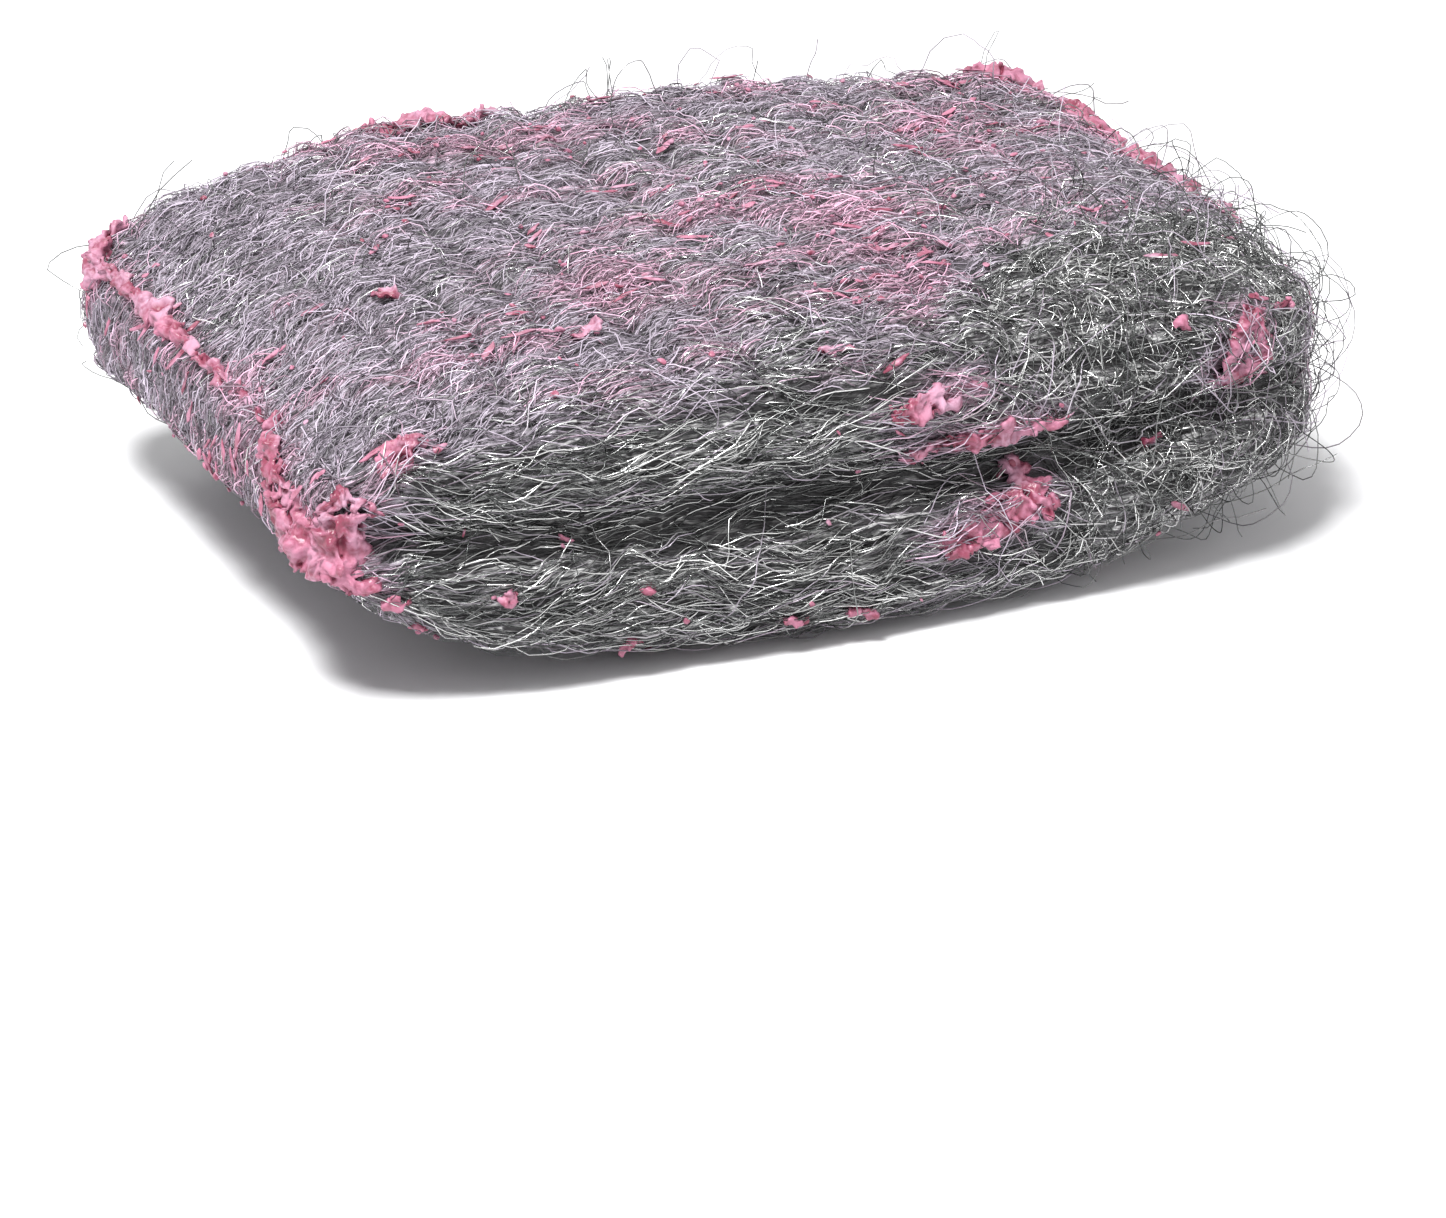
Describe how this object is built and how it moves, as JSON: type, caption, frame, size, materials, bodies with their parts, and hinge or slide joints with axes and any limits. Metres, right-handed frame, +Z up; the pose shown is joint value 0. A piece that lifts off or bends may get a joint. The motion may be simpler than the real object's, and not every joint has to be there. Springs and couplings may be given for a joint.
{
  "type": "steel wool pad",
  "caption": "Oblong scouring pad of folded steel wool with crimped cut ends, filled with dried pink soap. It rests on its flat underside.",
  "frame": {"origin": "on the flat underside, below the middle of the whole pad's box", "axes": "+X along the folds from cut end to cut end, -Y out of the two front folds, +Z up through the stack"},
  "size_m": [0.0806, 0.0568, 0.0234],
  "materials": {
    "steel_wool": "matted fine steel wires with a film of soap",
    "dried_soap": "dried crumbly soap, slightly waxy"
  },
  "bodies": {
    "root": {"steel_wool_pad": "steel_wool", "soap_crust_left_end": "dried_soap", "soap_crust_right_end": "dried_soap", "soap_lump_front_corner": "dried_soap", "soap_flake_upper_fold": "dried_soap", "soap_streak_in_crease": "dried_soap", "soap_smear_lower_fold": "dried_soap", "soap_smear_sprung_corner": "dried_soap", "soap_smear_back_edge": "dried_soap", "soap_patch_front_shoulder": "dried_soap"}
  },
  "joints": []
}
